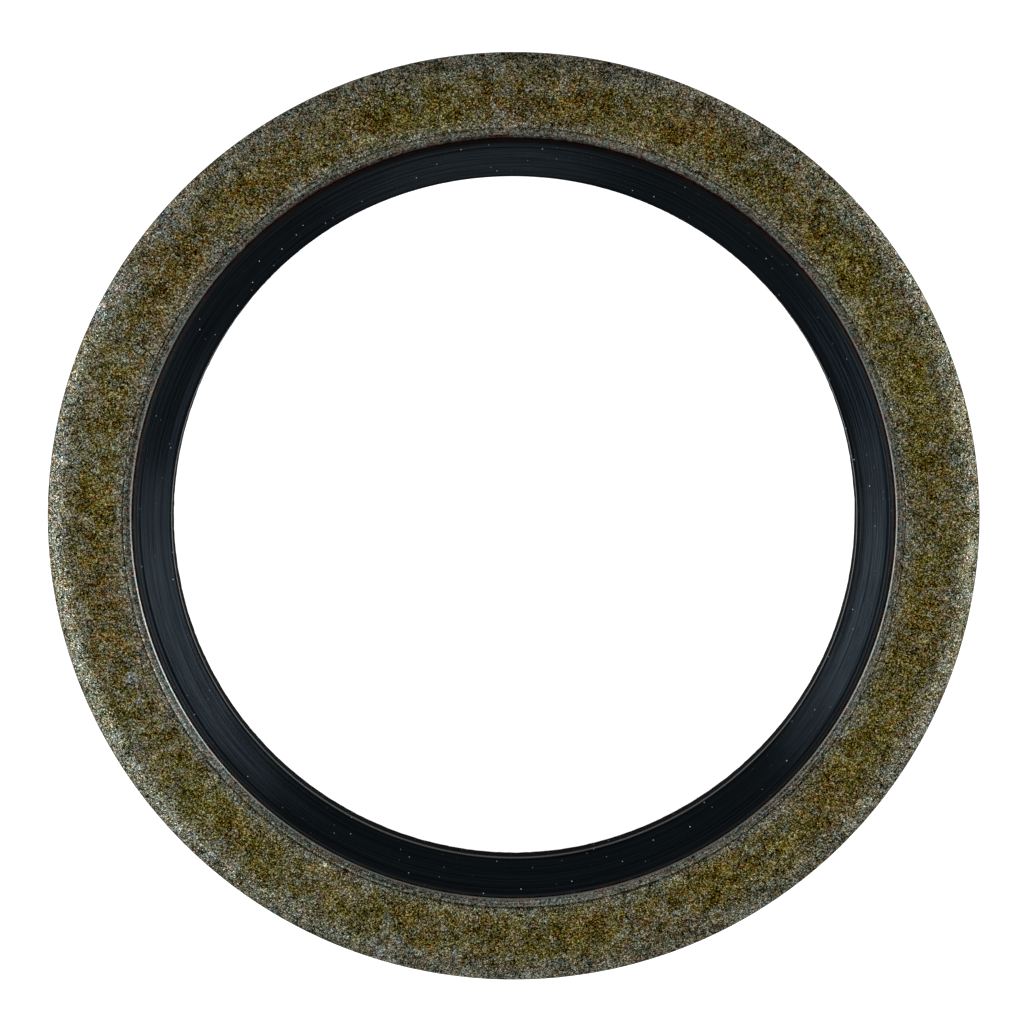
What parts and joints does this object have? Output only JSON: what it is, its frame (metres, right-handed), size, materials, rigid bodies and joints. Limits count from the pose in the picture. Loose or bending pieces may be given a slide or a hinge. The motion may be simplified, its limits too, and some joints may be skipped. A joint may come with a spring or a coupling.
{
  "type": "bonded sealing washer",
  "caption": "Flat steel ring with a rubber seal bonded into its bore, whose lips stand proud of both faces to seal under a bolt head or port fitting.",
  "frame": {"origin": "centre of the seal's bore, halfway between the ring's two flat faces", "axes": "+Z along the bore, out of the face whose outer edge carries the rounded die roll"},
  "size_m": [0.028, 0.028, 0.0028],
  "materials": {
    "steel": "blasted grain with a mottled yellow passivated zinc film",
    "rubber": "satin moulded nitrile rubber with fine circular mould-turning lines"
  },
  "bodies": {
    "root": {"metal_ring": "steel", "rubber_seal": "rubber"}
  },
  "joints": []
}
